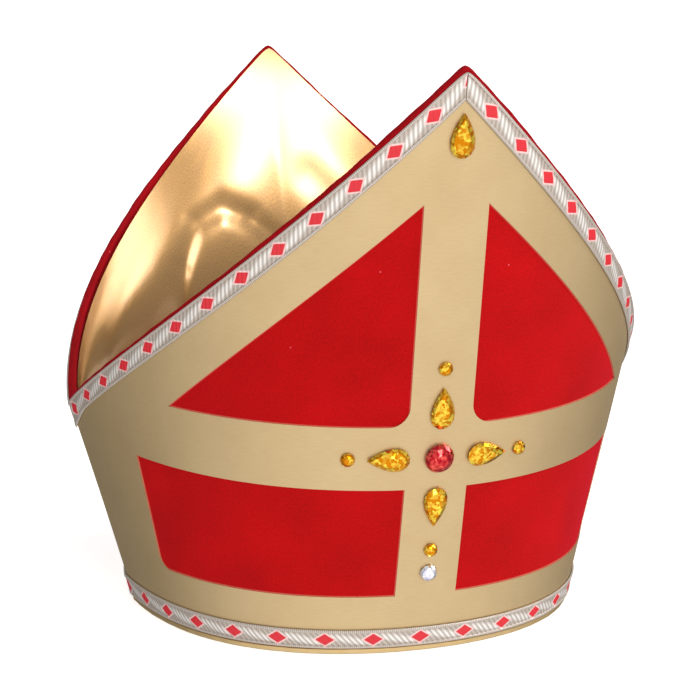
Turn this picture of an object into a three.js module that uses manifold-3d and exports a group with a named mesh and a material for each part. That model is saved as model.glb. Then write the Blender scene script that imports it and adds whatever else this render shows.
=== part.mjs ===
// A bishop's mitre. Two stiff velvet horns meet at a seam down each side, each under a skin of gold
// cloth whose four windows leave a cross standing. Galloon runs along the slopes and round the hem,
// cut stones are glued on the front, and a satin crown lining is slung between the horns.
// Millimetres, +Z up. The front faces -Y, and the hat stands on its hem roll at z = 0.

import * as THREE from "three";
import Module from "manifold-3d";

const wasm = await Module();
wasm.setup();

const { PI, abs, asin, cos, exp, hypot, max, min, sign, sin, sqrt } = Math;
const { degToRad, lerp } = THREE.MathUtils;

const FRONT = -1;
const BACK = 1;

// ---- The horns' form ---------------------------------------------------------------------------
// A horn is laid out on its flat pattern: p runs across from the centre line and q up from the hem.
// Its level section starts straight across at the centre and has turned by endTurn degrees when it
// reaches the seam; early and late say how far that turning runs ahead of an even one.
const SECTION = {
  hem: { halfGirth: 149, endTurn: 84.4, early: 0.15, late: -0.26 },
  valley: { halfGirth: 179.5, endTurn: 75, early: 0.37, late: -0.08 },
};
const VALLEY = 82; // pattern height where a slope leaves the seam
const PEAK = { [FRONT]: 233, [BACK]: 234 }; // pattern height of a horn's point
const SLOPE_SAG = 8; // dip of a slope below a straight line, half way up
const TIP_ROUND = 0.014; // rounding of the point, as a share of the half girth
const SEAM_LIFT = 10.2; // rise of a level line from the centre to the seams, at valley height
const LEAN = { [FRONT]: 10, [BACK]: 8 }; // of the centre line above the valley, from upright

// ---- Thicknesses, as offsets from the gold cloth's outer face, outward positive ----------------
const GAP = 0.3;
const GOLD = { outer: 0, inner: -0.5 };
const SHELL = { outer: -0.8, inner: -3.8 };
const LINING_MIDDLE = -4.6;
const LINING_THICKNESS = 1;
const TRIM = { outer: 1.1, inner: 0.3 };

// ---- Edges and trims ---------------------------------------------------------------------------
const ROLL = { depth: 4.5, outer: 0, inner: -5, round: 2.2 };
const PANEL_TOP = ROLL.depth + GAP; // how far below the edge the panels start
const TRIM_WIDTH = 8;
const TRIM_INSET = 1.5; // of the top trims below the roll's top
const HEM_ROLL = { outer: 0.3, inner: -4.2, height: 2.4, round: 0.9 };
const PANEL_FOOT = HEM_ROLL.height + GAP;
const HEM_TRIM_FOOT = 3;

// ---- The cross of gold cloth and its windows ---------------------------------------------------
const BAND = 24.6; // width of the upright and of the crossbar
const CROSSBAR = { low: 71.5, high: 97 };
const LOWER_WINDOW = { foot: 25.5, reach: 0.728 }; // reach is a share of the half girth
const UPPER_WINDOW = { reach: 108.6, apex: 181.8 };
const WINDOW_ROUND = 8;
const CUTTER = { outer: 4, inner: -4 };
const PANEL_MESH = { columns: 36, rows: 7 }; // of a shell and its overlay alike: their facets lie parallel

// ---- The crown lining --------------------------------------------------------------------------
// It goes down the back horn, across, and up the front one: `reach` towards the seams, and as deep as
// `middle` and `side` say. Its panels are stretches of the way over, in rows of its mesh.
const CROWN = { reach: 0.93, middle: 112, side: 80, squareness: 0.6 };
const CROWN_MESH = { columns: 34, rows: 18 };
const CROWN_PANELS = [
  { name: "crown_lining_back", from: 0, to: 7 },
  { name: "crown_lining_floor", from: 7, to: 11 },
  { name: "crown_lining_front", from: 11, to: 18 },
];
// Folds that stand out from the back horn, each a ridge from one pattern place to the next.
const FOLDS = [
  { fromShare: -0.06, fromHeight: 139, toShare: -0.18, toHeight: 156, height: 6, width: 9 },
  { fromShare: -0.18, fromHeight: 156, toShare: -0.33, toHeight: 133, height: 6, width: 9 },
  { fromShare: -0.33, fromHeight: 133, toShare: -0.41, toHeight: 115, height: 5, width: 9 },
  { fromShare: -0.25, fromHeight: 188, toShare: -0.8, toHeight: 91, height: 3, width: 8 },
];

// ---- Stones, as pattern places on the front ----------------------------------------------------
const CROSS_MIDDLE = (CROSSBAR.low + CROSSBAR.high) / 2;
const DROP = { width: 9.4, length: 16.4, height: 3 };
const STONES = [
  { name: "peak_stone", glass: "amber", drop: true, p: 0, q: 207, turn: 0 },
  { name: "cross_bead_top", glass: "amber", round: 5.6, p: 0, q: CROSS_MIDDLE + 35.5 },
  { name: "cross_drop_top", glass: "amber", drop: true, p: 0, q: CROSS_MIDDLE + 20, turn: 0 },
  { name: "centre_stone", glass: "ruby", round: 11.4, p: 0, q: CROSS_MIDDLE },
  { name: "cross_drop_left", glass: "amber", drop: true, p: -19.5, q: CROSS_MIDDLE, turn: 90 },
  { name: "cross_drop_right", glass: "amber", drop: true, p: 19.5, q: CROSS_MIDDLE, turn: -90 },
  { name: "cross_drop_bottom", glass: "amber", drop: true, p: 0, q: CROSS_MIDDLE - 20.5, turn: 180 },
  { name: "cross_bead_left", glass: "amber", round: 5.6, p: -34.5, q: CROSS_MIDDLE },
  { name: "cross_bead_right", glass: "amber", round: 5.6, p: 34.5, q: CROSS_MIDDLE },
  { name: "cross_bead_bottom", glass: "amber", round: 5.6, p: 0, q: CROSS_MIDDLE - 39 },
  { name: "clear_bead", glass: "clear", round: 7, p: 0, q: CROSS_MIDDLE - 49 },
];
const CUT = [
  { share: 0.94, rise: 0 },
  { share: 1, rise: 0.3 },
  { share: 0.84, rise: 0.68 },
  { share: 0.5, rise: 1 },
];

const MATERIALS = {
  velvet: { color: "#b80f14", roughness: 0.95, metalness: 0 },
  gold_cloth: { color: "#d2b989", roughness: 0.5, metalness: 0.55 },
  gold_roll: { color: "#dcc18a", roughness: 0.45, metalness: 0.5 },
  galloon: { color: "#cfc6b8", roughness: 0.45, metalness: 0.6 },
  satin: { color: "#ddb469", roughness: 0.28, metalness: 0.3 },
  amber: { color: "#f0b000", roughness: 0.06, metalness: 0 },
  ruby: { color: "#c83040", roughness: 0.06, metalness: 0 },
  clear: { color: "#f2eff8", roughness: 0.04, metalness: 0 },
};

// ---- Surface of a horn -------------------------------------------------------------------------

/** The level section at pattern height q. It widens all the way up and keeps its turning above the valley. */
function sectionAt(q) {
  const rise = q / VALLEY;
  const blend = (key) => lerp(SECTION.hem[key], SECTION.valley[key], min(rise, 1));
  return {
    halfGirth: lerp(SECTION.hem.halfGirth, SECTION.valley.halfGirth, rise),
    endTurn: degToRad(blend("endTurn")),
    early: blend("early"),
    late: blend("late"),
  };
}

/** How far across and how far back a section has gone at share t of the way to the seam. */
function walk({ halfGirth, endTurn, early, late }, t) {
  const steps = 24;
  let across = 0;
  let back = 0;
  for (let i = 0; i < steps; i++) {
    const s = (t * (i + 0.5)) / steps;
    const heading = endTurn * (s + (early * sin(PI * s)) / PI + (late * sin(2 * PI * s)) / (2 * PI));
    across += cos(heading);
    back += sin(heading);
  }
  const stride = (halfGirth * t) / steps;
  return { across: across * stride, back: back * stride };
}

const bellyAt = (q) => walk(sectionAt(min(q, VALLEY)), 1).back;
const FLARE = asin((bellyAt(VALLEY) - bellyAt(0)) / VALLEY); // of the wall below the valley

/** The place of (p, q) on a horn's outer face. */
function outerFace(horn, p, q) {
  const section = sectionAt(q);
  const t = abs(p) / section.halfGirth;
  const { across, back } = walk(section, t);
  const above = max(q - VALLEY, 0);
  const slant = degToRad(LEAN[horn]);
  const depth = bellyAt(q) + above * sin(slant) - back;
  const lift = SEAM_LIFT * min(q / VALLEY, 1) * t * t;
  const height = min(q, VALLEY) * cos(FLARE) + above * cos(slant) + lift;
  return new THREE.Vector3(sign(p) * across, horn * depth, height);
}

/** Across, up and outward directions of a horn's face at (p, q). */
function directions(horn, p, q) {
  const nudge = 0.5;
  const across = outerFace(horn, p + nudge, q).sub(outerFace(horn, p - nudge, q)).normalize();
  const up = outerFace(horn, p, q + nudge).sub(outerFace(horn, p, q - nudge)).normalize();
  const outward = across.clone().cross(up).multiplyScalar(-horn).normalize();
  return { across, up, outward };
}

/**
 * The place of (p, q) at an offset from the outer face. At a seam it slides along the face, to stop
 * short of the other horn.
 */
function place(horn, p, q, offset) {
  const { across, outward } = directions(horn, p, q);
  const point = outerFace(horn, p, q).addScaledVector(outward, offset);
  const atSeam = abs(p) / sectionAt(q).halfGirth > 0.9999;
  if (atSeam) point.addScaledVector(across, (horn * (GAP / 2) - point.y) / across.y);
  return point;
}

/** Pattern distance across at share s of the way to the seam; upright above the valley. */
const across = (s, q) => s * sectionAt(min(q, VALLEY)).halfGirth;

/** Pattern height of the line `below` mm inside a horn's slope, at share s of the way to the seam. */
function slope(horn, s, below = 0) {
  const share = abs(s);
  const rise = PEAK[horn] - VALLEY;
  const run = hypot(share, TIP_ROUND * max(0, 1 - below / ROLL.depth));
  const grade = (rise + SLOPE_SAG * PI * cos(PI * share)) / SECTION.valley.halfGirth;
  return PEAK[horn] - rise * run - SLOPE_SAG * sin(PI * share) - below * hypot(1, grade);
}

// ---- Closed bodies -----------------------------------------------------------------------------

const spread = (from, to, count) => Array.from({ length: count + 1 }, (_, i) => lerp(from, to, i / count));

/** A geometry from points and triangles, turned inside out where its faces look inward. */
function body(points, triangles) {
  const geometry = new THREE.BufferGeometry().setFromPoints(points);
  const volume = triangles.reduce((sum, [a, b, c]) => {
    return sum + points[a].dot(points[b].clone().cross(points[c]));
  }, 0);
  const facing = volume > 0 ? triangles : triangles.map(([a, b, c]) => [a, c, b]);
  geometry.setIndex(facing.flat());
  geometry.computeVertexNormals();
  return geometry;
}

/** A closed slab between two equal grids of points. */
function slab(outer, inner) {
  const rows = outer.length;
  const columns = outer[0].length;
  const layer = rows * columns;
  const at = (row, column) => row * columns + column;
  const triangles = [];
  for (let r = 0; r + 1 < rows; r++) {
    for (let c = 0; c + 1 < columns; c++) {
      const [a, b, d, e] = [at(r, c), at(r, c + 1), at(r + 1, c + 1), at(r + 1, c)];
      triangles.push([a, b, d], [a, d, e]);
      triangles.push([layer + a, layer + d, layer + b], [layer + a, layer + e, layer + d]);
    }
  }
  const rim = [
    ...Array.from({ length: columns - 1 }, (_, c) => at(0, c)),
    ...Array.from({ length: rows - 1 }, (_, r) => at(r, columns - 1)),
    ...Array.from({ length: columns - 1 }, (_, c) => at(rows - 1, columns - 1 - c)),
    ...Array.from({ length: rows - 1 }, (_, r) => at(rows - 1 - r, 0)),
  ];
  rim.forEach((a, i) => {
    const b = rim[(i + 1) % rim.length];
    triangles.push([b, a, layer + a], [b, layer + a, layer + b]);
  });
  return body([...outer.flat(), ...inner.flat()], triangles);
}

/** A closed body through a row of equal loops: a ring, or one closed by a cap at each end. */
function loft(loops, ring = false) {
  const size = loops[0].length;
  const points = loops.flat();
  const triangles = [];
  const spans = ring ? loops.length : loops.length - 1;
  for (let i = 0; i < spans; i++) {
    const here = i * size;
    const next = ((i + 1) % loops.length) * size;
    for (let k = 0; k < size; k++) {
      const l = (k + 1) % size;
      triangles.push([here + k, here + l, next + l], [here + k, next + l, next + k]);
    }
  }
  if (!ring) {
    const middle = (loop) => loop.reduce((sum, v) => sum.add(v), new THREE.Vector3()).divideScalar(size);
    const last = (loops.length - 1) * size;
    const [start, end] = [points.length, points.length + 1];
    points.push(middle(loops[0]), middle(loops.at(-1)));
    for (let k = 0; k < size; k++) {
      const l = (k + 1) % size;
      triangles.push([start, l, k], [end, last + k, last + l]);
    }
  }
  return body(points, triangles);
}

/** A rectangle with rounded corners as [u, w] places, from (u0, w0) to (u1, w1). */
function roundedOutline(u0, u1, w0, w1, radius) {
  const corners = [
    [u1 - radius, w0 + radius, -90],
    [u1 - radius, w1 - radius, 0],
    [u0 + radius, w1 - radius, 90],
    [u0 + radius, w0 + radius, 180],
  ];
  const arc = [0, 45, 90];
  return corners.flatMap(([u, w, start]) => {
    return arc.map((turn) => {
      const angle = degToRad(start + turn);
      return [u + radius * cos(angle), w + radius * sin(angle)];
    });
  });
}

function solidOf(geometry) {
  return new wasm.Manifold(
    new wasm.Mesh({
      numProp: 3,
      vertProperties: new Float32Array(geometry.attributes.position.array),
      triVerts: new Uint32Array(geometry.index.array),
    }),
  );
}

function geometryOf(solid) {
  const mesh = solid.getMesh();
  const geometry = new THREE.BufferGeometry();
  geometry.setAttribute("position", new THREE.BufferAttribute(new Float32Array(mesh.vertProperties), 3));
  geometry.setIndex(new THREE.BufferAttribute(new Uint32Array(mesh.triVerts), 1));
  geometry.computeVertexNormals();
  return geometry;
}

// ---- The hat's pieces --------------------------------------------------------------------------

/** A layer of a horn between two offsets, over columns between two shares and rows from foot to top. */
function panel(horn, { outer, inner }, { from = -1, to = 1, columns, rows, foot, top }) {
  const shares = spread(from, to, columns);
  const heights = (s) => spread(foot(s), top(s), rows);
  const face = (offset) => {
    return Array.from({ length: rows + 1 }, (_, r) => {
      return shares.map((s) => {
        const q = heights(s)[r];
        return place(horn, across(s, q), q, offset);
      });
    });
  };
  return slab(face(outer), face(inner));
}

function shell(horn) {
  const foot = () => PANEL_FOOT;
  const top = (s) => slope(horn, s, PANEL_TOP);
  return panel(horn, SHELL, { ...PANEL_MESH, foot, top });
}

/** The solid that opens one window: rows from low to high, each from near(q) to far(q) across. */
function windowCutter(horn, side, low, high, near, far) {
  const rows = [...spread(0, WINDOW_ROUND, 4), ...spread(WINDOW_ROUND, high - low, 3).slice(1)];
  const face = (offset) => {
    return rows.map((rise) => {
      const q = low + rise;
      return spread(near(q), far(q), 7).map((p) => place(horn, side * p, q, offset));
    });
  };
  return solidOf(slab(face(CUTTER.outer), face(CUTTER.inner)));
}

/** How much a window narrows near its rounded bottom corner, at a height above its bottom edge. */
function cornerInset(rise) {
  const reach = max(WINDOW_ROUND - rise, 0);
  return WINDOW_ROUND - sqrt(WINDOW_ROUND ** 2 - reach ** 2);
}

/** The gold cloth of one horn: a thin skin with two windows above the crossbar and two below it. */
function goldOverlay(horn) {
  const foot = () => PANEL_FOOT;
  const top = (s) => slope(horn, s, PANEL_TOP);
  const skin = solidOf(panel(horn, GOLD, { ...PANEL_MESH, foot, top }));
  const upper = (side) => {
    const near = (q) => BAND / 2 + cornerInset(q - CROSSBAR.high);
    const taper = (q) => (q - CROSSBAR.high) / (UPPER_WINDOW.apex - CROSSBAR.high);
    const far = (q) => lerp(UPPER_WINDOW.reach, BAND / 2 + GAP, taper(q));
    return windowCutter(horn, side, CROSSBAR.high, UPPER_WINDOW.apex, near, far);
  };
  const lower = (side) => {
    const near = () => BAND / 2;
    const far = (q) => across(LOWER_WINDOW.reach, q) - cornerInset(q - LOWER_WINDOW.foot);
    return windowCutter(horn, side, LOWER_WINDOW.foot, CROSSBAR.low, near, far);
  };
  const cutters = [upper(-1), upper(1), lower(-1), lower(1)];
  return geometryOf(cutters.reduce((solid, cutter) => solid.subtract(cutter), skin));
}

/** The velvet rolled over a horn's top edge, from seam to seam. */
function edgeRoll(horn) {
  const outline = roundedOutline(0, ROLL.depth, ROLL.inner, ROLL.outer, ROLL.round);
  const stations = spread(-1, 1, 44);
  return loft(
    stations.map((s) => {
      return outline.map(([below, offset]) => {
        const q = slope(horn, s, below);
        return place(horn, across(s, q), q, offset);
      });
    }),
  );
}

/** One slope's galloon, from the seam to the mitre at the horn's point. */
function topTrim(horn, side) {
  const mitre = GAP / 2 / SECTION.valley.halfGirth;
  const foot = (s) => slope(horn, s, TRIM_INSET + TRIM_WIDTH);
  const top = (s) => slope(horn, s, TRIM_INSET);
  const [from, to] = side < 0 ? [-1, -mitre] : [mitre, 1];
  return panel(horn, TRIM, { from, to, columns: 22, rows: 1, foot, top });
}

/** The galloon round half of the hem. */
function hemTrim(horn) {
  const foot = () => HEM_TRIM_FOOT;
  const top = () => HEM_TRIM_FOOT + TRIM_WIDTH;
  return panel(horn, TRIM, { columns: 36, rows: 1, foot, top });
}

/** The gold cloth rolled under the bottom edge, one ring that the hat stands on. */
function hemRoll() {
  const outline = roundedOutline(HEM_ROLL.inner, HEM_ROLL.outer, 0, HEM_ROLL.height, HEM_ROLL.round);
  const half = spread(-1, 1, 36).slice(0, -1);
  const loops = [FRONT, BACK].flatMap((horn) => {
    return half.map((s) => {
      const p = -horn * across(s, 0);
      const rim = outerFace(horn, p, 0).setZ(0);
      const { outward } = directions(horn, p, 0);
      const out = s === -1 ? new THREE.Vector3(sign(p), 0, 0) : outward.setZ(0).normalize();
      return outline.map(([reach, height]) => rim.clone().addScaledVector(out, reach).setZ(height));
    });
  });
  return loft(loops, true);
}

/** How far the folds of the lining stand out at (p, q) on the back horn. */
function foldHeight(p, q) {
  const heights = FOLDS.map(({ fromShare, fromHeight, toShare, toHeight, height, width }) => {
    const from = new THREE.Vector3(across(fromShare, fromHeight), fromHeight, 0);
    const to = new THREE.Vector3(across(toShare, toHeight), toHeight, 0);
    const here = new THREE.Vector3(p, q, 0);
    const nearest = new THREE.Line3(from, to).closestPointToPoint(here, true, new THREE.Vector3());
    return height * exp(-((nearest.distanceTo(here) / width) ** 2));
  });
  return max(...heights);
}

/** The satin slung between the horns: down the back one's inner face, across, and up the front one's. */
function crownLining() {
  const shares = spread(-CROWN.reach, CROWN.reach, CROWN_MESH.columns);
  const hung = (horn, s, turn) => {
    const top = slope(horn, s, PANEL_TOP);
    const trough = min(lerp(CROWN.middle, CROWN.side, (s / CROWN.reach) ** 2), top - LINING_THICKNESS);
    const q = lerp(top, trough, sin(turn) ** CROWN.squareness);
    const p = across(s, q);
    const fold = horn === BACK ? foldHeight(p, q) * sin(turn) : 0;
    return place(horn, p, q, LINING_MIDDLE - fold);
  };
  return spread(0, PI, CROWN_MESH.rows).map((turn) => {
    const crossing = (1 - sign(cos(turn)) * abs(cos(turn)) ** CROWN.squareness) / 2;
    return shares.map((s) => hung(BACK, s, turn).lerp(hung(FRONT, s, turn), crossing));
  });
}

/** The two faces of a sheet of the given thickness about a grid of points. */
function facesOf(grid, thickness) {
  const normalAt = (r, c) => {
    const down = grid[max(r - 1, 0)][c].clone().sub(grid[min(r + 1, grid.length - 1)][c]);
    const along = grid[r][max(c - 1, 0)].clone().sub(grid[r][min(c + 1, grid[0].length - 1)]);
    return down.cross(along).normalize();
  };
  return [thickness / 2, -thickness / 2].map((offset) => {
    return grid.map((row, r) => row.map((v, c) => v.clone().addScaledVector(normalAt(r, c), offset)));
  });
}

/** Rows of a face, with an end row drawn in by half a gap where another panel carries on. */
function rowsBetween(face, from, to) {
  const drawnIn = (row, inner) => {
    return row.map((v, c) => v.clone().addScaledVector(inner[c].clone().sub(v).normalize(), GAP / 2));
  };
  const rows = face.slice(from, to + 1);
  if (from > 0) rows[0] = drawnIn(rows[0], rows[1]);
  if (to < face.length - 1) rows[rows.length - 1] = drawnIn(rows.at(-1), rows.at(-2));
  return rows;
}

/** Outline of a drop with its point up: the widest place reaches the full width. */
function dropOutline({ width, length }, sides) {
  const fullness = (3 * sqrt(3)) / 4;
  return Array.from({ length: sides }, (_, i) => {
    const turn = (2 * PI * (i + 0.5)) / sides;
    const wide = fullness * sin(turn) * sin(turn / 2);
    return [(width / 2) * wide, (length / 2) * cos(turn)];
  });
}

function roundOutline(diameter, sides) {
  return Array.from({ length: sides }, (_, i) => {
    const turn = (2 * PI * i) / sides;
    return [(diameter / 2) * cos(turn), (diameter / 2) * sin(turn)];
  });
}

/** A cut stone lying flat on z = 0. */
function cutStone({ drop, round }) {
  const outline = drop ? dropOutline(DROP, 14) : roundOutline(round, 12);
  const height = drop ? DROP.height : 0.3 * round + 0.6;
  return loft(
    CUT.map(({ share, rise }) => {
      return outline.map(([x, y]) => new THREE.Vector3(share * x, share * y, rise * height));
    }),
  );
}

/** Stands a mesh made on z = 0 on the front horn's gold cloth, turned in its plane. */
function glueOn(mesh, { p, q, turn = 0 }) {
  const { across: sideways, outward } = directions(FRONT, p, q);
  const upward = outward.clone().cross(sideways);
  mesh.quaternion.setFromRotationMatrix(new THREE.Matrix4().makeBasis(sideways, upward, outward));
  mesh.rotateZ(degToRad(turn));
  mesh.position.copy(place(FRONT, p, q, GAP));
  return mesh;
}

// ---- Assembly ----------------------------------------------------------------------------------

function named(name, finish, geometry) {
  const mesh = new THREE.Mesh(geometry, new THREE.MeshStandardMaterial(MATERIALS[finish]));
  mesh.name = name;
  return mesh;
}

const HORNS = [
  { horn: FRONT, word: "front" },
  { horn: BACK, word: "back" },
];

const hat = new THREE.Group();
for (const { horn, word } of HORNS) {
  hat.add(named(`${word}_shell`, "velvet", shell(horn)));
  hat.add(named(`${word}_gold_overlay`, "gold_cloth", goldOverlay(horn)));
  hat.add(named(`${word}_edge_roll`, "velvet", edgeRoll(horn)));
  hat.add(named(`${word}_top_trim_left`, "galloon", topTrim(horn, -1)));
  hat.add(named(`${word}_top_trim_right`, "galloon", topTrim(horn, 1)));
  hat.add(named(`hem_trim_${word}`, "galloon", hemTrim(horn)));
}
hat.add(named("hem_roll", "gold_roll", hemRoll()));
const [upper, lower] = facesOf(crownLining(), LINING_THICKNESS);
for (const { name, from, to } of CROWN_PANELS) {
  hat.add(named(name, "satin", slab(rowsBetween(upper, from, to), rowsBetween(lower, from, to))));
}
for (const stone of STONES) {
  hat.add(glueOn(named(stone.name, stone.glass, cutStone(stone)), stone));
}

// The frame's origin is under the middle of the hat's box.
const middle = new THREE.Box3().setFromObject(hat).getCenter(new THREE.Vector3());
hat.position.set(-middle.x, -middle.y, 0);

const part = new THREE.Group();
part.add(hat);

export default part;
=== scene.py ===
"""A bishop's mitre, dressed on its CAD frame.

Two stiff velvet horns stand under gold foil cloth, with galloon along their slopes and round the hem,
cut stones on the front and a satin crown lining slung between them. Cloth is laid out flat in
millimetres, as (p, q, offset): across from the centre line, up from the hem, and out from the gold
cloth's face. It is then bent onto the horn's form, and the scene is in metres.
"""

import logging
import math
from collections.abc import Callable, Sequence
from dataclasses import dataclass, field
from enum import Enum

import bmesh
import bpy
import numpy as np
from bpy.types import Material, Node, NodeSocket, NodeTree, Object
from mathutils import Matrix, Vector


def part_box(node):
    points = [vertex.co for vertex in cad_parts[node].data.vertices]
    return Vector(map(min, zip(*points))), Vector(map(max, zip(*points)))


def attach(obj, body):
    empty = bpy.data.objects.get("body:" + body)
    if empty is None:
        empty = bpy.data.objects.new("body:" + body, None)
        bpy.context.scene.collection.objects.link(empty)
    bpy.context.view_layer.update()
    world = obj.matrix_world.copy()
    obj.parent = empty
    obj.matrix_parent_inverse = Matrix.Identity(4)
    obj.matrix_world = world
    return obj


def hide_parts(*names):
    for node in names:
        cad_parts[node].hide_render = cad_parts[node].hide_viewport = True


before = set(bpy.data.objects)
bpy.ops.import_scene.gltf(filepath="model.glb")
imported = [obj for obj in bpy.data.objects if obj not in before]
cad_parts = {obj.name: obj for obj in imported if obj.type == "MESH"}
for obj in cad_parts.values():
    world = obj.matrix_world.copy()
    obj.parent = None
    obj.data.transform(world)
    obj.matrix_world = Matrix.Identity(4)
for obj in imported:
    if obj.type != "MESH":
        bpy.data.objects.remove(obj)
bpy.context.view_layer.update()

log = logging.getLogger("mitre")

BODY = "root"
PATTERN = "pattern"  # UV map: the place on the flat cloth, in metres
THREAD = "thread"  # colour attribute of a braid: diamond, outline, band and edge cord
MM = 0.001
WAVE = 3.18  # a wave texture's repeats in one unit
SEAM_GAP = 0.3  # between the horns, in mm
AT_SEAM = 0.9999  # the share of the way to the seam from which a place counts as on it
SHARP = math.radians(38)


class Horn(Enum):
    """The two horns of the hat. The value is the direction in which one faces along Y."""

    FRONT = -1
    BACK = 1


class Side(Enum):
    """The two slopes of a horn. The value is the direction from the centre along X."""

    LEFT = -1
    RIGHT = 1


class Cut(Enum):
    """Outlines that the stones are cut to."""

    DROP = "drop"
    ROUND = "round"


# ---- The horns' form ---------------------------------------------------------------------------


def lerp(a: float | np.ndarray, b: float | np.ndarray, share: float | np.ndarray) -> np.ndarray:
    """A value part of the way from one to another."""
    return a + (b - a) * share


@dataclass(frozen=True)
class Section:
    """A level section of a horn: its length to the seam in mm, and how it turns on the way there."""

    half_girth: float
    end_turn: float
    early: float
    late: float


@dataclass(frozen=True)
class HornForm:
    """The curved wall of the hat, as places over the flat pattern of a horn. Sizes are in mm."""

    hem: Section = Section(149, 84.4, 0.15, -0.26)
    valley: Section = Section(179.5, 75, 0.37, -0.08)
    valley_height: float = 82
    ease: float = 12  # softens the bend of the wall at valley height
    peak: dict[Horn, float] = field(default_factory=lambda: {Horn.FRONT: 233, Horn.BACK: 234})
    lean: dict[Horn, float] = field(default_factory=lambda: {Horn.FRONT: 10, Horn.BACK: 8})
    slope_sag: float = 8  # dip of a slope below a straight line, half way up
    tip_round: float = 0.014  # of the point, as a share of the half girth
    tip_depth: float = 4.5  # how far inside the slope the point is sharp again
    seam_lift: float = 10.2  # rise of a level line from the centre to the seams, at valley height
    steps: int = 24  # of the walk along a level section
    nudge: float = 0.5  # between the places that a direction is taken from
    seam_plane: float = 0.0  # where the horns meet along Y, in metres

    def above(self, q: np.ndarray) -> np.ndarray:
        """How much of a pattern height lies above the valley, eased in."""
        over = q - self.valley_height
        return (over + np.sqrt(over**2 + self.ease**2)) / 2

    def half_girth(self, q: np.ndarray) -> np.ndarray:
        """Length of a level line from the centre to where the seam would be."""
        return lerp(self.hem.half_girth, self.valley.half_girth, q / self.valley_height)

    def walk(self, q: np.ndarray, t: np.ndarray) -> tuple[np.ndarray, np.ndarray]:
        """Follows a level section part of the way to the seam.

        Args:
            q: Pattern heights.
            t: Shares of the way.

        Returns:
            How far across and how far back each walk has gone.
        """
        settled = (q - self.above(q)) / self.valley_height
        end, early, late = (
            lerp(getattr(self.hem, key), getattr(self.valley, key), settled)[..., None]
            for key in ("end_turn", "early", "late")
        )
        s = t[..., None] * (np.arange(self.steps) + 0.5) / self.steps
        swing = s + early * np.sin(np.pi * s) / np.pi + late * np.sin(2 * np.pi * s) / (2 * np.pi)
        heading = np.radians(end) * swing
        stride = self.half_girth(q) * t / self.steps
        return np.cos(heading).sum(-1) * stride, np.sin(heading).sum(-1) * stride

    def belly(self, q: np.ndarray) -> np.ndarray:
        """Depth of the wall's centre line in front of the seam plane, below the valley."""
        return self.walk(q, np.ones_like(q))[1]

    def face(self, horn: Horn, p: np.ndarray, q: np.ndarray) -> np.ndarray:
        """Places on the outer face of a horn.

        Args:
            horn: Which horn.
            p: Pattern distances across from the centre line.
            q: Pattern heights.

        Returns:
            Places in mm, a row each.
        """
        above = self.above(q)
        low = q - above
        ends = self.belly(np.array([0.0, self.valley_height]))
        flare = math.asin((ends[1] - ends[0]) / self.valley_height)
        slant = math.radians(self.lean[horn])
        t = np.abs(p) / self.half_girth(q)
        across, back = self.walk(q, t)
        girth_share = self.half_girth(low) / self.half_girth(q)
        depth = self.belly(q) * girth_share + above * math.sin(slant) - back
        lift = self.seam_lift * low / self.valley_height * t**2
        height = low * math.cos(flare) + above * math.cos(slant) + lift
        return np.stack([np.sign(p) * across, horn.value * depth, height], axis=-1)

    def directions(self, horn: Horn, p: np.ndarray, q: np.ndarray) -> tuple[np.ndarray, np.ndarray]:
        """Unit directions of the cloth at places on a horn.

        Args:
            horn: Which horn.
            p: Pattern distances across.
            q: Pattern heights.

        Returns:
            The directions across the cloth and out of it, a row for each place.
        """
        across = self.face(horn, p + self.nudge, q) - self.face(horn, p - self.nudge, q)
        up = self.face(horn, p, q + self.nudge) - self.face(horn, p, q - self.nudge)
        outward = np.cross(across, up) * -horn.value
        across /= np.linalg.norm(across, axis=-1, keepdims=True)
        outward /= np.linalg.norm(outward, axis=-1, keepdims=True)
        return across, outward

    def bend(self, horn: Horn, p: np.ndarray, q: np.ndarray, offset: np.ndarray) -> np.ndarray:
        """Places of cloth on a horn, kept to the horn's own side of the seam plane.

        Args:
            horn: Which horn.
            p: Pattern distances across.
            q: Pattern heights.
            offset: Distances out from the gold cloth's face.

        Returns:
            Places in metres in the frame, a row each.
        """
        across, outward = self.directions(horn, p, q)
        places = self.face(horn, p, q) + outward * np.asarray(offset)[..., None]
        edge = horn.value * SEAM_GAP / 2
        at_seam = np.abs(p) / self.half_girth(q) > AT_SEAM
        crossing = at_seam | (horn.value * places[..., 1] < SEAM_GAP / 2)
        slide = np.where(crossing, (edge - places[..., 1]) / across[..., 1], 0)
        places += across * slide[..., None]
        return places * MM + np.array([0, self.seam_plane, 0])

    def across(self, s: np.ndarray, q: np.ndarray) -> np.ndarray:
        """Pattern distance across at a share of the way to the seam, upright above the valley."""
        return s * self.half_girth(np.minimum(q, self.valley_height))

    def slope(self, horn: Horn, s: np.ndarray, below: float | np.ndarray = 0) -> np.ndarray:
        """Pattern height of the line that runs a distance inside a horn's slope.

        Args:
            horn: Which horn.
            s: Shares of the way to the seam, less than 0 to the left.
            below: The distance, square to the slope.

        Returns:
            The heights.
        """
        share = np.abs(s)
        rise = self.peak[horn] - self.valley_height
        tip = self.tip_round * np.maximum(0, 1 - np.asarray(below) / self.tip_depth)
        sag = self.slope_sag * np.sin(np.pi * share)
        level = self.peak[horn] - rise * np.hypot(share, tip) - sag
        return level - below * np.hypot(1, self.grade(horn, share))

    def grade(self, horn: Horn, share: np.ndarray) -> np.ndarray:
        """Fall of a horn's slope for each mm across, at a share of the way to the seam."""
        rise = self.peak[horn] - self.valley_height
        return (rise + self.slope_sag * np.pi * np.cos(np.pi * share)) / self.valley.half_girth

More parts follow.
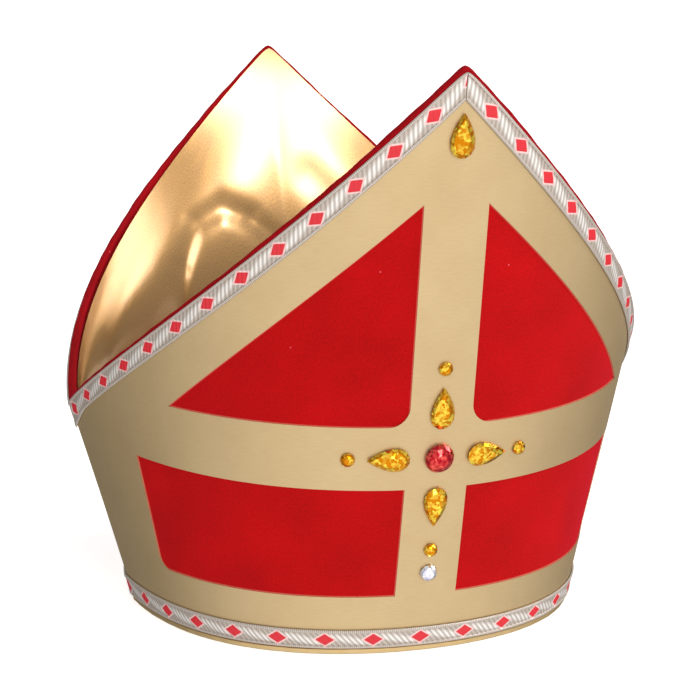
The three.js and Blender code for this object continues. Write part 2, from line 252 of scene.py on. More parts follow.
    def cut_area(self, horn: Horn, foot: float, below: float) -> float:
        """Flat area of a horn's pattern.

        Args:
            horn: Which horn.
            foot: Pattern height of its foot.
            below: How far inside the slope it ends.

        Returns:
            The area in square metres.
        """
        s = np.linspace(-1, 1, 401)
        top = self.slope(horn, s, below)
        strip = self.half_girth(np.minimum((foot + top) / 2, self.valley_height))
        return float(np.mean((top - foot) * strip) * 2 * MM**2)


# ---- Mesh tools --------------------------------------------------------------------------------


def flat_grid(columns: int, rows: int) -> bmesh.types.BMesh:
    """A grid to be laid out and bent.

    Args:
        columns: How many cells wide.
        rows: How many cells high.

    Returns:
        The grid, a unit wide and high about the origin.
    """
    bm = bmesh.new()
    bmesh.ops.create_grid(bm, x_segments=columns, y_segments=rows, size=0.5)
    return bm


def flat_places(bm: bmesh.types.BMesh) -> np.ndarray:
    """The places of a mesh's vertices, a row each."""
    return np.array([vert.co[:] for vert in bm.verts])


def move_to(bm: bmesh.types.BMesh, places: np.ndarray) -> None:
    """Moves every vertex to its row's place."""
    for vert, place in zip(bm.verts, places):
        vert.co = place


def chart(bm: bmesh.types.BMesh, flat: np.ndarray) -> None:
    """Writes each vertex's place on the flat cloth to the pattern UV map.

    Args:
        bm: The mesh.
        flat: The flat places in mm, a row for each vertex.
    """
    layer = bm.loops.layers.uv.get(PATTERN) or bm.loops.layers.uv.new(PATTERN)
    bm.verts.index_update()
    places = [Vector(row) for row in flat[:, :2] * MM]
    for face in bm.faces:
        for loop in face.loops:
            loop[layer].uv = places[loop.vert.index]


def close(bm: bmesh.types.BMesh, weld: float = 1e-6) -> None:
    """Makes a mesh a closed body with its faces turned outward.

    Args:
        bm: The mesh. Its meeting edges are welded and its open ends filled.
        weld: The distance within which vertices are one.
    """
    bmesh.ops.remove_doubles(bm, verts=bm.verts[:], dist=weld)
    rim = [edge for edge in bm.edges if edge.is_boundary]
    if rim:
        bmesh.ops.holes_fill(bm, edges=rim, sides=0)
    bmesh.ops.recalc_face_normals(bm, faces=bm.faces[:])


def shade(bm: bmesh.types.BMesh, sharp: float = SHARP) -> None:
    """Smooths a mesh's faces.

    Args:
        bm: The mesh.
        sharp: The angle from which an edge stays crisp.
    """
    for face in bm.faces:
        face.smooth = True
    for edge in bm.edges:
        edge.smooth = edge.calc_face_angle(0) < sharp


def piece(
    bm: bmesh.types.BMesh, name: str, materials: Sequence[Material], stands_for: Sequence[str]
) -> Object:
    """Makes a finished mesh a piece of the hat.

    Args:
        bm: The mesh, in place. It is freed.
        name: The piece's name.
        materials: Its materials, in the order of its faces' material numbers.
        stands_for: The CAD nodes that it replaces.

    Returns:
        The new object, riding on the hat's body.
    """
    mesh = bpy.data.meshes.new(name)
    bm.to_mesh(mesh)
    bm.free()
    for material in materials:
        mesh.materials.append(material)
    obj = bpy.data.objects.new(name, mesh)
    bpy.context.scene.collection.objects.link(obj)
    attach(obj, BODY)
    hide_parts(*stands_for)
    log.info("%s: %d faces, stands for %s", name, len(mesh.polygons), ", ".join(stands_for))
    return obj


@dataclass(frozen=True)
class Strand:
    """A closed body swept along a line: a loop of profile points at each of many stations.

    A place is a share along the line and a row of the profile.
    """

    stations: int
    profile: np.ndarray  # one row for each point round the body: (below or height, offset)

    def lay(
        self,
        place: Callable[[np.ndarray, np.ndarray], tuple[np.ndarray, np.ndarray]],
        thread: Callable[[np.ndarray], np.ndarray] | None = None,
    ) -> bmesh.types.BMesh:
        """Builds the body.

        Args:
            place: From shares along the line and profile rows to places in metres and flat places in mm.
            thread: From flat places to the values of the thread attribute.

        Returns:
            The closed mesh, charted.
        """
        around = len(self.profile)
        bm = flat_grid(self.stations, around)
        flat = flat_places(bm)
        along = flat[:, 0] + 0.5
        index = np.round((flat[:, 1] + 0.5) * around).astype(int) % around
        places, pattern = place(along, self.profile[index])
        chart(bm, pattern)
        move_to(bm, places)
        if thread:
            layer = bm.verts.layers.float_color.new(THREAD)
            for vert, values in zip(bm.verts, thread(pattern)):
                vert[layer] = (*values, 1.0)
        close(bm)
        shade(bm)
        return bm


def rounded_profile(
    near: float, far: float, inner: float, outer: float, fullness: float, count: int
) -> np.ndarray:
    """A soft-cornered box as a loop of (across, offset) points.

    Args:
        near: Least value across.
        far: Greatest value across.
        inner: Least offset.
        outer: Greatest offset.
        fullness: 1 for an ellipse, towards 0 for a box.
        count: How many points.

    Returns:
        A row for each point.
    """
    turn = np.arange(count) / count * 2 * np.pi

    def soft(wave: np.ndarray) -> np.ndarray:
        """A wave squared off by the fullness."""
        return np.sign(wave) * np.abs(wave) ** fullness

    across = lerp(near, far, (1 + soft(np.cos(turn))) / 2)
    offset = lerp(inner, outer, (1 + soft(np.sin(turn))) / 2)
    return np.stack([across, offset], axis=-1)


def ripple(x: np.ndarray, lengths: Sequence[float], seed: int) -> np.ndarray:
    """A gentle uneven wave.

    Args:
        x: Distances along it.
        lengths: Wavelengths of the sines that it is made of.
        seed: Seed of their phases.

    Returns:
        Its heights, -1 to 1.
    """
    phases = np.random.default_rng(seed).uniform(0, 2 * np.pi, len(lengths))
    waves = [np.sin(2 * np.pi * x / length + phase) for length, phase in zip(lengths, phases)]
    return sum(waves) / len(lengths)


# ---- Materials ---------------------------------------------------------------------------------


def linear(code: str) -> tuple[float, float, float, float]:
    """Turns an sRGB colour into the linear one that the shaders take.

    Args:
        code: The colour in hex, after a hash sign.

    Returns:
        Its red, green, blue and alpha.
    """
    channels = [int(code[i : i + 2], 16) / 255 for i in (1, 3, 5)]
    red, green, blue = (c / 12.92 if c <= 0.04045 else ((c + 0.055) / 1.055) ** 2.4 for c in channels)
    return (red, green, blue, 1.0)


def add_node(tree: NodeTree, kind: str, inputs: dict | None = None, **settings: object) -> Node:
    """Adds a node to a tree.

    Args:
        tree: The tree.
        kind: The node's type name after "ShaderNode".
        inputs: For an input's name or number, a value, an output, or a node whose first live output it takes.
        **settings: The node's properties.

    Returns:
        The node.
    """
    node = tree.nodes.new("ShaderNode" + kind)
    for key, value in settings.items():
        setattr(node, key, value)
    for key, value in (inputs or {}).items():
        if isinstance(value, Node):
            value = next(socket for socket in value.outputs if socket.enabled)
        if isinstance(value, NodeSocket):
            tree.links.new(value, node.inputs[key])
        else:
            node.inputs[key].default_value = value
    return node


def blank_material(name: str) -> tuple[Material, NodeTree]:
    """Starts a material.

    Args:
        name: Its name.

    Returns:
        The material, with no nodes yet, and its tree.
    """
    material = bpy.data.materials.new(name)
    material.use_nodes = True
    material.node_tree.nodes.clear()
    return material, material.node_tree


def pattern_space(tree: NodeTree, across: float, up: float, turn: float = 0) -> Node:
    """Adds the place on the flat cloth, scaled for a texture.

    Args:
        tree: The material's tree.
        across: How many mm a unit is across.
        up: How many mm a unit is up.
        turn: How far the cloth is turned first, in degrees.

    Returns:
        The node that gives the place.
    """
    place = add_node(tree, "UVMap", uv_map=PATTERN)
    turned = add_node(tree, "Mapping", {"Vector": place, "Rotation": (0, 0, math.radians(turn))})
    return add_node(tree, "Mapping", {"Vector": turned, "Scale": (1 / (across * MM), 1 / (up * MM), 1)})


@dataclass(frozen=True)
class CottonVelvet:
    """Cotton velvet: a woven ground under short upright pile.

    The pile drinks light from the front and glows crimson at a glancing angle. It is crushed here
    and there and holds a little lint. Along a cut edge of the foil cloth it is painted paler, as a highlight.
    """

    deep: str = "#a50608"
    bright: str = "#c8080c"
    glow: str = "#ff2d55"
    lint: str = "#e0606a"
    # rim: painted highlight, the colour of the pile along the foil's cut edges
    rim: str = "#e0685c"
    sheen: float = 0.5
    crush_mm: float = 28
    pile_mm: float = 0.9  # real pile is finer, drawn as coarse as it shows
    lint_mm: float = 17
    # rim_mm: width of that painted highlight
    rim_mm: float = 0.5

    def make(self, name: str, edges: Sequence[tuple[float, float, float]] = ()) -> Material:
        """Builds the material.

        Args:
            name: The material's name.
            edges: Lines of the pattern in mm, as unit normal and constant, beside which a highlight is
                painted on the pile.

        Returns:
            The material.
        """
        material, tree = blank_material(name)
        crush_at = pattern_space(tree, self.crush_mm, self.crush_mm)
        crush = add_node(tree, "TexNoise", {"Vector": crush_at, "Scale": 1, "Detail": 3})
        pile_at = pattern_space(tree, self.pile_mm, self.pile_mm)
        pile = add_node(tree, "TexNoise", {"Vector": pile_at, "Scale": 1, "Detail": 2})
        both = add_node(tree, "Math", {0: crush, 1: pile}, operation="ADD")
        tone = add_node(tree, "MapRange", {"Value": both, "From Min": 0.62, "From Max": 1.38})
        shades = {0: tone, 6: linear(self.deep), 7: linear(self.bright)}
        colour = add_node(tree, "Mix", shades, data_type="RGBA")
        lint_at = pattern_space(tree, self.lint_mm, self.lint_mm)
        specks = add_node(tree, "TexVoronoi", {"Vector": lint_at, "Scale": 1})
        fluff = add_node(tree, "MapRange", {"Value": specks, "From Min": 0.024, "From Max": 0.012})
        colour = add_node(tree, "Mix", {0: fluff, 6: colour, 7: linear(self.lint)}, data_type="RGBA")
        # painted highlight: the pile is drawn paler along the windows' cut edges
        if edges:
            standing = self.painted_edge_highlight(tree, edges)
            colour = add_node(tree, "Mix", {0: standing, 6: colour, 7: linear(self.rim)}, data_type="RGBA")
        bump = add_node(tree, "Bump", {"Height": pile, "Strength": 0.5, "Distance": 0.35 * MM})
        cloth = {
            "Base Color": colour,
            "Roughness": 0.9,
            "Specular IOR Level": 0.12,
            "Sheen Weight": self.sheen,
            "Sheen Roughness": 0.32,
            "Sheen Tint": linear(self.glow),
            "Normal": bump,
        }
        add_node(tree, "OutputMaterial", {"Surface": add_node(tree, "BsdfPrincipled", cloth)})
        return material

    def painted_edge_highlight(self, tree: NodeTree, edges: Sequence[tuple[float, float, float]]) -> Node:
        """Adds a painted highlight beside some lines, the same left and right.

        Args:
            tree: The material's tree.
            edges: The lines.

        Returns:
            The node that gives it, 0 to 1.
        """
        mirrored = add_node(tree, "VectorMath", {0: pattern_space(tree, 1, 1)}, operation="ABSOLUTE")
        nearest = None
        for across, up, constant in edges:
            reach = add_node(tree, "VectorMath", {0: mirrored, 1: (across, up, 0)}, operation="DOT_PRODUCT")
            signed = add_node(tree, "Math", {0: reach, 1: constant}, operation="ADD")
            distance = add_node(tree, "Math", {0: signed}, operation="ABSOLUTE")
            if nearest:
                distance = add_node(tree, "Math", {0: nearest, 1: distance}, operation="MINIMUM")
            nearest = distance
        fade = {"Value": nearest, "From Min": self.rim_mm, "From Max": self.rim_mm * 0.2}
        return add_node(tree, "MapRange", fade)


@dataclass(frozen=True)
class FoilCloth:
    """Gold foil laminated on woven cloth: a dull metal with the weft showing as a fine level grain.

    The foil's base is a pale brass, worn slightly lighter along the threads, with soft clouds.
    """

    shade: str = "#caab78"
    light: str = "#d7ba86"
    grain_mm: tuple[float, float] = (4, 0.45)
    cloud_mm: float = 22
    metallic: float = 0.7
    roughness: float = 0.45
    relief_mm: float = 0.03

    def make(self, name: str) -> Material:
        """Builds the material.

        Args:
            name: The material's name.

        Returns:
            The material.
        """
        material, tree = blank_material(name)
        grain_at = pattern_space(tree, *self.grain_mm)
        grain = add_node(tree, "TexNoise", {"Vector": grain_at, "Scale": 1, "Detail": 4})
        cloud_at = pattern_space(tree, self.cloud_mm, self.cloud_mm)
        cloud = add_node(tree, "TexNoise", {"Vector": cloud_at, "Scale": 1, "Detail": 2})
        both = add_node(tree, "Math", {0: grain, 1: cloud}, operation="ADD")
        tone = add_node(tree, "MapRange", {"Value": both, "From Min": 0.55, "From Max": 1.45})
        shades = {0: tone, 6: linear(self.shade), 7: linear(self.light)}
        colour = add_node(tree, "Mix", shades, data_type="RGBA")
        wear = {"Value": grain, "To Min": self.roughness + 0.06, "To Max": self.roughness - 0.06}
        gloss = add_node(tree, "MapRange", wear)
        bump = add_node(tree, "Bump", {"Height": grain, "Strength": 0.6, "Distance": self.relief_mm * MM})
        foil = {
            "Base Color": colour,
            "Metallic": self.metallic,
            "Roughness": gloss,
            "Coat Weight": 0.6,
            "Coat Roughness": 0.4,
            "Coat IOR": 1.7,
            "Normal": bump,
        }
        add_node(tree, "OutputMaterial", {"Surface": add_node(tree, "BsdfPrincipled", foil)})
        return material


@dataclass(frozen=True)
class LurexGalloon:
    """Jacquard galloon of champagne metal yarn, with diamonds of red silk and corded edges.

    The yarn is a flat foil strip, bright where floats lie side by side and taupe in the ground. Shade is
    painted into the troughs between floats and between the cords' windings.
    """

    ground: str = "#cabcb0"
    float_: str = "#fbf5ee"
    cord: str = "#d8cdc2"
    # gap: painted shade, mixed in where the relief is low
    gap: str = "#9a8c80"
    diamond: str = "#dc1f2c"
    outline: str = "#f2cfc9"
    float_mm: float = 1.7  # spacing of the slanting floats
    rib_mm: float = 0.75  # spacing of the cords' windings
    lean: float = 38

    def make(self, name: str) -> Material:
        """Builds the material.

        Args:
            name: The material's name.

        Returns:
            The material.
        """
        material, tree = blank_material(name)
        thread = add_node(tree, "Attribute", attribute_name=THREAD)
        diamond, bright, cord = add_node(tree, "SeparateColor", {0: thread}).outputs
        slanted = pattern_space(tree, self.float_mm * WAVE, self.float_mm * WAVE, self.lean)
        floats = add_node(tree, "TexWave", {"Vector": slanted, "Scale": 1, "Distortion": 0.8})
        wound = pattern_space(tree, self.rib_mm * WAVE, self.rib_mm * WAVE)
        ribs = add_node(tree, "TexWave", {"Vector": wound, "Scale": 1, "Distortion": 0.5})
        height = add_node(tree, "Mix", {0: cord, 2: add_node(tree, "SeparateColor", {0: floats}), 3: ribs})
        yarn = {0: bright, 6: linear(self.ground), 7: linear(self.float_)}
        colour = add_node(tree, "Mix", yarn, data_type="RGBA")
        colour = add_node(tree, "Mix", {0: cord, 6: colour, 7: linear(self.cord)}, data_type="RGBA")
        # painted shade: darker towards the troughs of the relief
        furrow_shade_mask = add_node(tree, "MapRange", {"Value": height, "To Min": 0.3, "To Max": 1.0})
        colour = add_node(tree, "Mix", {0: furrow_shade_mask, 6: linear(self.gap), 7: colour}, data_type="RGBA")
        outlined = add_node(tree, "MapRange", {"Value": diamond, "From Min": 0.1, "From Max": 0.3})
        colour = add_node(tree, "Mix", {0: outlined, 6: colour, 7: linear(self.outline)}, data_type="RGBA")
        inked = add_node(tree, "MapRange", {"Value": diamond, "From Min": 0.52, "From Max": 0.66})
        colour = add_node(tree, "Mix", {0: inked, 6: colour, 7: linear(self.diamond)}, data_type="RGBA")
        metal = add_node(tree, "MapRange", {"Value": diamond, "To Min": 0.3, "To Max": 0.0})
        bump = add_node(tree, "Bump", {"Height": height, "Strength": 0.7, "Distance": 0.14 * MM})
        yarn = {"Base Color": colour, "Metallic": metal, "Roughness": 0.4, "Normal": bump}
        add_node(tree, "OutputMaterial", {"Surface": add_node(tree, "BsdfPrincipled", yarn)})
        return material


@dataclass(frozen=True)
class PolyesterSatin:
    """Gold polyester satin: long floats on the face that mirror light in soft, wide streaks.

    It goes from brown in the folds to nearly white where it faces the light.
    """

    colour: str = "#8e5c10"
    light: str = "#bc8a30"
    float_mm: float = 0.45
    pucker_mm: float = 17
    metallic: float = 0.88
    roughness: float = 0.36

    def make(self, name: str) -> Material:
        """Builds the material.

        Args:
            name: The material's name.

        Returns:
            The material.
        """
        material, tree = blank_material(name)
        pucker_at = pattern_space(tree, self.pucker_mm, self.pucker_mm * 1.6)
        pucker = add_node(tree, "TexNoise", {"Vector": pucker_at, "Scale": 1, "Detail": 2})
        float_at = pattern_space(tree, self.float_mm, self.float_mm * 3)
        floats = add_node(tree, "TexNoise", {"Vector": float_at, "Scale": 1, "Detail": 2})
        soft = add_node(tree, "Bump", {"Height": pucker, "Strength": 0.4, "Distance": 0.8 * MM})
        weave = {"Height": floats, "Strength": 0.35, "Distance": 0.05 * MM, "Normal": soft}
        fine = add_node(tree, "Bump", weave)
        tone = add_node(tree, "MapRange", {"Value": floats, "From Min": 0.3, "From Max": 0.7})
        shades = {0: tone, 6: linear(self.colour), 7: linear(self.light)}
        cloth = {
            "Base Color": add_node(tree, "Mix", shades, data_type="RGBA"),
            "Metallic": self.metallic,
            "Roughness": self.roughness,
            "Coat Weight": 0.6,
            "Coat Roughness": 0.3,
            "Coat IOR": 2.3,
            "Normal": fine,
        }
        add_node(tree, "OutputMaterial", {"Surface": add_node(tree, "BsdfPrincipled", cloth)})
        return material


@dataclass(frozen=True)
class AcrylicStone:
    """Moulded acrylic stone with a mirror foil on its back.

    Light goes through the tinted body, comes back from the foil and breaks up in the facets. Glints
    are painted on the foil: small cells of it take a paler colour.
    """

    body: str
    foil: str
    # spark: painted glint, the paler colour of some of the foil's cells
    painted_glint: str
    # glint_cell_mm: size of the painted glint cells
    glint_cell_mm: float = 1.1

    def make(self, name: str) -> tuple[Material, Material]:
        """Builds the stone's materials.

        Args:
            name: The body's name.

        Returns:
            The body's material and the foil's.
        """
        material, tree = blank_material(name)
        place = add_node(tree, "TexCoord").outputs["Object"]
        wear = add_node(tree, "TexNoise", {"Vector": place, "Scale": 900, "Detail": 1})
        haze = add_node(tree, "MapRange", {"Value": wear, "To Min": 0.02, "To Max": 0.07})
        glass = {
            "Base Color": linear(self.body),
            "Roughness": haze,
            "IOR": 1.49,
            "Transmission Weight": 1.0,
        }
        add_node(tree, "OutputMaterial", {"Surface": add_node(tree, "BsdfPrincipled", glass)})
        foil, tree = blank_material(name + "_foil")
        place = add_node(tree, "TexCoord").outputs["Object"]
        # painted glints: cells of the foil are drawn in the paler colour
        glint_cells = add_node(tree, "TexVoronoi", {"Vector": place, "Scale": 1 / (self.glint_cell_mm * MM)})
        glint_value = add_node(tree, "SeparateColor", {0: glint_cells.outputs["Color"]})
        glint_mask = add_node(tree, "MapRange", {"Value": glint_value, "From Min": 0.3, "From Max": 0.95})
        shades = {0: glint_mask, 6: linear(self.foil), 7: linear(self.painted_glint)}
        mirror = {
            "Base Color": add_node(tree, "Mix", shades, data_type="RGBA"),
            "Metallic": 1.0,
            "Roughness": 0.1,
        }
        add_node(tree, "OutputMaterial", {"Surface": add_node(tree, "BsdfPrincipled", mirror)})
        return material, foil


# ---- Horns -------------------------------------------------------------------------------------

Line = tuple[float, float, float]  # a line of the pattern: unit normal pointing out, and constant


def corner_lines(first: Line, second: Line, radius: float, count: int = 7) -> list[Line]:
    """Tangents of the arc that rounds the corner between two lines.

    Args:
        first: A line.
        second: The line that it meets.
        radius: The arc's radius in mm.
        count: How many tangents.

    Returns:
        The tangents, as lines.
    """
    normals = np.array([first[:2], second[:2]])
    centre = np.linalg.solve(normals, -radius - np.array([first[2], second[2]]))
    start, end = (math.atan2(line[1], line[0]) for line in (first, second))
    sweep = (end - start + math.pi) % (2 * math.pi) - math.pi
    turns = start + sweep * np.arange(1, count + 1) / (count + 1)
    return [
        (math.cos(turn), math.sin(turn), -radius - math.cos(turn) * centre[0] - math.sin(turn) * centre[1])
        for turn in turns
    ]


def line_through(a: tuple[float, float], b: tuple[float, float]) -> Line:
    """Draws a line through two pattern places.

    Args:
        a: A place.
        b: Another.

    Returns:
        The line. Its normal is to the right of the way from a to b.
    """
    across, up = b[1] - a[1], a[0] - b[0]
    length = math.hypot(across, up)
    return (across / length, up / length, -(across * a[0] + up * a[1]) / length)


@dataclass(frozen=True)
class Windows:
    """The openings that leave a cross standing in the gold cloth, on the right half. Sizes are in mm."""

    form: HornForm
    band: float = 24.6
    crossbar_low: float = 71.5
    crossbar_high: float = 97
    foot: float = 25.5
    lower_reach: float = 0.728
    upper_reach: float = 108.6
    apex: float = 181.8
    round_: float = 8

    def upper(self) -> list[Line]:
        """The window above the crossbar.

        Returns:
            The lines that bound it.
        """
        inner = (-1.0, 0.0, self.band / 2)
        bottom = (0.0, -1.0, self.crossbar_high)
        slant = line_through((self.upper_reach, self.crossbar_high), (self.band / 2 + SEAM_GAP, self.apex))
        return [inner, bottom, slant, *corner_lines(inner, bottom, self.round_)]

    def lower(self) -> list[Line]:
        """The window below the crossbar.

        Returns:
            The lines that bound it.
        """
        ends = [(float(self.form.across(self.lower_reach, q)), q) for q in (self.foot, self.crossbar_low)]
        inner = (-1.0, 0.0, self.band / 2)
        bottom = (0.0, -1.0, self.foot)
        top = (0.0, 1.0, -self.crossbar_low)
        outer = line_through(*ends)
        return [inner, bottom, top, outer, *corner_lines(bottom, outer, self.round_)]

    def edges(self) -> list[Line]:
        """The straight lines that bound any window."""
        return [*self.upper()[:3], *self.lower()[1:4]]


@dataclass(frozen=True)
class HornCloth:
    """The velvet horn and the gold cloth over it. Sizes are in mm."""

    form: HornForm
    windows: Windows
    velvet: Material
    gold: Material
    foot: float = 2.7
    below: float = 4.8  # how far under the edge the cloth starts
    velvet_outer: float = -0.55
    velvet_inner: float = -2.9
    gold_thickness: float = 0.5
    gold_share: float = 0.72  # of the velvet's cut, left between the windows

    def build(self, horn: Horn) -> None:
        """Makes both layers of a horn.

        Args:
            horn: Which horn.
        """
        word = horn.name.lower()
        wall = self.velvet_wall(horn)
        shell = piece(wall, f"{word}_velvet", [self.velvet], [f"{word}_shell"])
        skin = self.gold_skin(horn)
        overlay = piece(skin, f"{word}_gold_cloth", [self.gold], [f"{word}_gold_overlay"])
        area = self.form.cut_area(horn, self.foot, self.below)

    def laid_out(self, horn: Horn, share: np.ndarray, rise: np.ndarray) -> tuple[np.ndarray, np.ndarray]:
        """Pattern places at shares across, -1 to 1, and shares of the height."""
        q = lerp(self.foot, self.form.slope(horn, share, self.below), rise)
        return self.form.across(share, q), q

    def velvet_wall(self, horn: Horn, columns: int = 150, rows: int = 64) -> bmesh.types.BMesh:
        """The stiffened velvet, from seam to seam.

        Args:
            horn: Which horn.
            columns: Steps across.
            rows: Places up each face.

        Returns:
            The closed wall.
        """
        up = np.linspace(0, 1, rows)
        outer = np.stack([up, np.full(rows, self.velvet_outer)], axis=-1)
        inner = np.stack([up[::-1], np.full(rows, self.velvet_inner)], axis=-1)

        def place(along: np.ndarray, profile: np.ndarray) -> tuple[np.ndarray, np.ndarray]:
            """Places and flat places of the wall's surface."""
            p, q = self.laid_out(horn, 2 * along - 1, profile[:, 0])
            return self.form.bend(horn, p, q, profile[:, 1]), np.stack([p, q], axis=-1)

        return Strand(columns, np.concatenate([outer, inner])).lay(place)

    def gold_skin(self, horn: Horn, columns: int = 120, rows: int = 66) -> bmesh.types.BMesh:
        """The gold cloth: cut flat, given its thickness and then bent.

        Args:
            horn: Which horn.
            columns: Steps across.
            rows: Steps up.

        Returns:
            The closed skin.
        """
        bm = flat_grid(columns, rows)
        unit = flat_places(bm)
        p, q = self.laid_out(horn, 2 * unit[:, 0], unit[:, 1] + 0.5)
        move_to(bm, np.stack([p, q, np.zeros_like(p)], axis=-1))
        for side in Side:
            for window in (self.windows.upper(), self.windows.lower()):
                self.open_window(bm, [(side.value * a, b, c) for a, b, c in window])
        bmesh.ops.solidify(bm, geom=bm.faces[:], thickness=self.gold_thickness)
        flat = flat_places(bm)
        chart(bm, flat)
        offset = -np.abs(flat[:, 2])
        move_to(bm, self.form.bend(horn, flat[:, 0], flat[:, 1], offset))
        close(bm)
        shade(bm)
        return bm

    def open_window(self, bm: bmesh.types.BMesh, lines: Sequence[Line], margin: float = 5) -> None:
        """Cuts a window out of the flat cloth.

        Args:
            bm: The flat cloth.
            lines: The lines that bound the window, normals out.
            margin: How far outside the window cloth may be cut through.
        """

        def outside(face: bmesh.types.BMFace) -> float:
            """How far a face's middle lies outside the window, less than 0 when inside."""
            middle = face.calc_center_median()
            return max(a * middle.x + b * middle.y + c for a, b, c in lines)

        for a, b, c in lines:
            faces = [face for face in bm.faces if outside(face) < margin]
            edges = {edge for face in faces for edge in face.edges}
            verts = {vert for face in faces for vert in face.verts}
            near = [*faces, *edges, *verts]
            plane = Vector((-a * c, -b * c, 0))
            bmesh.ops.bisect_plane(bm, geom=near, dist=1e-4, plane_co=plane, plane_no=(a, b, 0))
        inside = [face for face in bm.faces if outside(face) < 0]
        bmesh.ops.delete(bm, geom=inside, context="FACES")


@dataclass(frozen=True)
class EdgeRoll:
    """The velvet turned over a horn's top edge, from seam to seam, with a nub at the point. In mm."""

    form: HornForm
    velvet: Material
    depth: float = 4.5
    outer: float = 0.15
    inner: float = -3.5
    fullness: float = 0.62
    lump: float = 0.22
    lump_lengths: tuple[float, ...] = (9, 23, 41)
    nub: float = 0.5
    nub_reach: float = 3.5

    def build(self, horn: Horn, stations: int = 320, around: int = 22) -> None:
        """Makes the roll of one horn.

        Args:
            horn: Which horn.
            stations: Steps along it.
            around: Points round it.
        """
        profile = rounded_profile(0, self.depth, self.inner, self.outer, self.fullness, around)

        def place(along: np.ndarray, loop: np.ndarray) -> tuple[np.ndarray, np.ndarray]:
            """Places the roll's surface.

            Args:
                along: Shares of the way along it.
                loop: Rows of its profile.

            Returns:
                The places in metres and the flat places in mm.
            """
            s = 2 * along - 1
            reach = s * self.form.valley.half_girth
            swell = self.lump * ripple(reach, self.lump_lengths, seed=horn.value + 3)
            point = self.nub * np.exp(-((reach / self.nub_reach) ** 2))
            below = loop[:, 0] - (swell + point) * (1 - loop[:, 0] / self.depth)
            offset = loop[:, 1] + swell * np.sign(loop[:, 1] - self.inner / 2) * 0.5
            q = self.form.slope(horn, s, below)
            p = self.form.across(s, q)
            around_mm = loop[:, 0] - loop[:, 1]
            return self.form.bend(horn, p, q, offset), np.stack([reach, around_mm], axis=-1)

        bm = Strand(stations, profile).lay(place)
        word = horn.name.lower()
        piece(bm, f"{word}_rolled_edge", [self.velvet], [f"{word}_edge_roll"])


# ---- Galloon -----------------------------------------------------------------------------------


